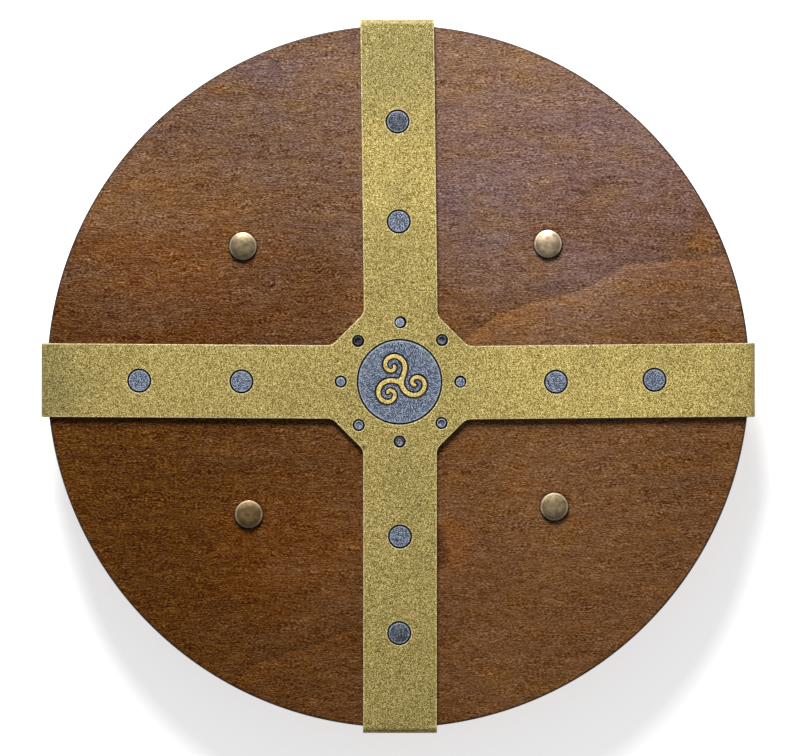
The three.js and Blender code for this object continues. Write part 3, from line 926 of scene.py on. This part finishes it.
def finish_paint(f, grain, colour):
    return f.finish(base_color=colour, roughness=0.5, specular_ior_level=0.2,
                    normal=f.bump(grain, 0.06))


def tint_places(f, colour, places):
    for x, y, reach_x, reach_y, tint in places:
        colour = f.tinted(colour, f.near(x, y, reach_x, reach_y), tint)
    return colour


def gold_finish():
    f, grain, colour = paint_finish("gold_sheet", (0.047, 0.026, 0.000), (0.243, 0.183, 0.034),
                                    (0.71, 0.58, 0.245), size=0.29, span=0.165, mottle=0.12)
    # The gold's marks, with painted light and shade on its arms
    return finish_paint(f, grain, tint_places(f, colour, GOLD_MARKS_AND_PAINTED_LIGHT))


def blue_finish():
    f, grain, colour = paint_finish("blue_grey_sheet", (0.000, 0.002, 0.008), (0.052, 0.073, 0.119),
                                    (0.43, 0.475, 0.56), size=0.42, span=0.15, mottle=0.3)
    return finish_paint(f, grain, tint_places(f, colour, BLUE_PLACES))


def plain_paint(*colours, **settings):
    return finish_paint(*paint_finish(*colours, **settings))


def cut_edge_finish():
    f = Finish("cut_edge")
    grain = f.noise((0.8, 0.8, 0.4), 2.0)
    colour = f.mix(grain, (0.010, 0.008, 0.007), (0.035, 0.027, 0.022))
    return f.finish(base_color=colour, roughness=0.8, normal=f.bump(grain, 0.1))


def brass_finish(name, bright, dark, rough, lower_painted_shade):
    f = Finish(name)
    brushed = f.noise((3.0, 0.18, 0.4), 2.0, 0.6)
    patina = f.noise((2.6, 2.2, 2.6), 3.0, 0.6)
    colour = f.mix(f.spread(patina, 0.35, 0.65), bright, dark)
    # Painted reflection and painted shade on single caps
    for end, reach, tint in CAP_PAINTED_LIGHT:
        x, y = middle_of("rivet_cap_" + end)
        colour = f.tinted(colour, f.near(float(x), float(y), reach, reach, 0.6), tint)
    # Where the last tint isn't white, painted shade darkens the lower side of each cap
    for end in RIVET_ENDS:
        x, y = middle_of("rivet_cap_" + end)
        colour = f.tinted(colour, f.near(float(x), float(y) - 7, 8, 7.5, 0.5), lower_painted_shade)
    duller = f.maths("MULTIPLY", f.spread(f.y, 10.0, -10.0), 0.15)
    roughness = f.maths("ADD", f.spread(brushed, 0.3, 0.7, rough, rough + 0.14), duller)
    return f.finish(base_color=colour, metallic=1.0, roughness=roughness, normal=f.bump(brushed, 0.012))


def leather_finish(name, dark, bright, roughness):
    f = Finish(name)
    cells = f.add("ShaderNodeTexVoronoi", {"Vector": f.vector("DIVIDE", f.place, (0.9, 0.9, 0.9)),
                                          "Scale": 1.0}, feature="SMOOTH_F1").outputs["Distance"]
    tone = f.noise((12, 16, 12), 3.0)
    fine = f.noise((0.5, 0.5, 0.5), 2.0)
    mixed = f.maths("ADD", f.maths("MULTIPLY", cells, 0.5), f.maths("MULTIPLY", tone, 0.6))
    colour = f.mix(f.spread(mixed, 0.25, 0.85), bright, dark)
    relief = f.maths("ADD", f.maths("MULTIPLY", cells, -0.8), f.maths("MULTIPLY", fine, 0.3))
    return f.finish(base_color=colour, roughness=roughness, normal=f.bump(relief, 0.12))


# Stage

def aim(thing, place, target):
    thing.location = Vector(place) * MM
    direction = Vector(target) - Vector(place)
    thing.rotation_euler = direction.to_track_quat("-Z", "Y").to_euler()


def set_stage():
    half = FLOOR_HALF * MM
    corners = [(-half, -half, 0), (half, -half, 0), (half, half, 0), (-half, half, 0)]
    mesh = bpy.data.meshes.new("floor")
    mesh.from_pydata(corners, [], [(0, 1, 2, 3)])
    pale = bpy.data.materials.new("pale_floor")
    pale.use_nodes = True
    shader = pale.node_tree.nodes["Principled BSDF"]
    shader.inputs["Base Color"].default_value = (0.9, 0.9, 0.9, 1)
    shader.inputs["Roughness"].default_value = 0.9
    shader.inputs["Emission Color"].default_value = (1, 1, 1, 1)
    shader.inputs["Emission Strength"].default_value = FLOOR_GLOW
    mesh.materials.append(pale)
    floor = bpy.data.objects.new("floor", mesh)
    bpy.context.scene.collection.objects.link(floor)


def set_light():
    lamp = bpy.data.lights.new("panel", "AREA")
    lamp.shape = "DISK"
    lamp.size = LAMP_SIZE
    lamp.energy = LAMP_POWER
    panel = bpy.data.objects.new("panel", lamp)
    bpy.context.scene.collection.objects.link(panel)
    aim(panel, LAMP_PLACE, (0, 0, 30))
    world = bpy.data.worlds.new("pale_studio")
    bpy.context.scene.world = world
    world.use_nodes = True
    sky = world.node_tree.nodes["Background"]
    sky.inputs["Color"].default_value = (0.95, 0.97, 1.0, 1)
    sky.inputs["Strength"].default_value = SKY_STRENGTH
    bpy.context.scene.view_settings.view_transform = "Standard"


def set_camera():
    data = bpy.data.cameras.new("camera")
    data.sensor_width = SENSOR
    data.lens = SENSOR * CAMERA_HEIGHT / VIEW_WIDTH
    data.clip_end = 20
    camera = bpy.data.objects.new("camera", data)
    bpy.context.scene.collection.objects.link(camera)
    camera.location = Vector((VIEW_CENTRE[0], VIEW_CENTRE[1], VIEW_CENTRE[2] + CAMERA_HEIGHT)) * MM
    camera.rotation_euler = (0, 0, 0)
    bpy.context.scene.camera = camera


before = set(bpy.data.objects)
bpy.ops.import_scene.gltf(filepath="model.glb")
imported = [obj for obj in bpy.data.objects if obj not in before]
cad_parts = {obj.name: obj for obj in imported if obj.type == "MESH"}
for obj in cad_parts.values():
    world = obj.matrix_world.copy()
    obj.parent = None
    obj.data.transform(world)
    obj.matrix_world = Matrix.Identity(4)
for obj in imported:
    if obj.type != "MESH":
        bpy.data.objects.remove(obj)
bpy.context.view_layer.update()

cut_edge = cut_edge_finish()
gold = gold_finish()
# Lighter gold for the rounded lips: painted highlight
worn_gold = plain_paint("worn_gold", (0.20, 0.14, 0.03), (0.48, 0.39, 0.16), (0.85, 0.74, 0.45))
light_gold = plain_paint("light_gold", (0.20, 0.13, 0.01), (0.52, 0.38, 0.10), (0.88, 0.74, 0.36))
blue_grey = blue_finish()
# Lighter blue-grey for the rounded lips: painted highlight
painted_highlight_blue = plain_paint("worn_blue_grey", (0.04, 0.055, 0.08), (0.19, 0.245, 0.33), (0.54, 0.61, 0.70))
pale_blue = plain_paint("pale_blue_grey", (0.03, 0.04, 0.06), (0.10, 0.137, 0.195), (0.40, 0.46, 0.55))
# An even lighter blue-grey for some lips: painted highlight
bright_blue = plain_paint("bright_blue_grey", (0.07, 0.09, 0.12), (0.28, 0.34, 0.43), (0.62, 0.69, 0.78))
# Dark mottled paint: the large outer studs' own mottle, and painted shade on small studs' dishes. Below
# it, a near-black paint that is painted shade.
scuffed_and_shaded_blue = plain_paint("scuffed_blue_grey", (0.000, 0.001, 0.002), (0.056, 0.064, 0.084),
                           (0.30, 0.34, 0.40), size=0.42, mottle=0.4, patch=(0.4, 0.6, 0.55))
painted_shade_blue = plain_paint("blackened_blue_grey", (0.000, 0.000, 0.001), (0.017, 0.015, 0.022),
                             (0.12, 0.11, 0.13), size=0.42, mottle=0.4)
blues = {"plain": blue_grey, "worn": painted_highlight_blue, "pale": pale_blue, "bright": bright_blue,
         "scuffed": scuffed_and_shaded_blue, "blackened": painted_shade_blue}
brass = brass_finish("antique_brass", (0.33, 0.252, 0.150), (0.20, 0.148, 0.082), 0.46, (1, 1, 1))
# The rim's lighter worn brass, with painted shade on each cap's lower side
worn_brass_shaded_below = brass_finish("worn_brass_shaded_below", (0.58, 0.47, 0.32), (0.40, 0.315, 0.20), 0.38, (0.5, 0.5, 0.5))
leather = leather_finish("strap_leather", (0.035, 0.016, 0.009), (0.105, 0.050, 0.026), 0.5)
leather_edge = leather_finish("strap_edge", (0.012, 0.007, 0.005), (0.030, 0.016, 0.010), 0.42)

make_board([wood_finish(), rim_finish()])
make_cross([gold, cut_edge, worn_gold])
make_studs(blues, cut_edge)
make_middle_disc([blue_grey, cut_edge, painted_highlight_blue, painted_shade_blue])
make_triskele([light_gold, cut_edge, light_gold])
make_rivet_caps([brass, worn_brass_shaded_below])
make_rivet_backs([brass])
make_strap("hand_strap", "left", [leather, leather_edge])
make_strap("arm_strap", "right", [leather, leather_edge])

set_stage()
set_light()
set_camera()
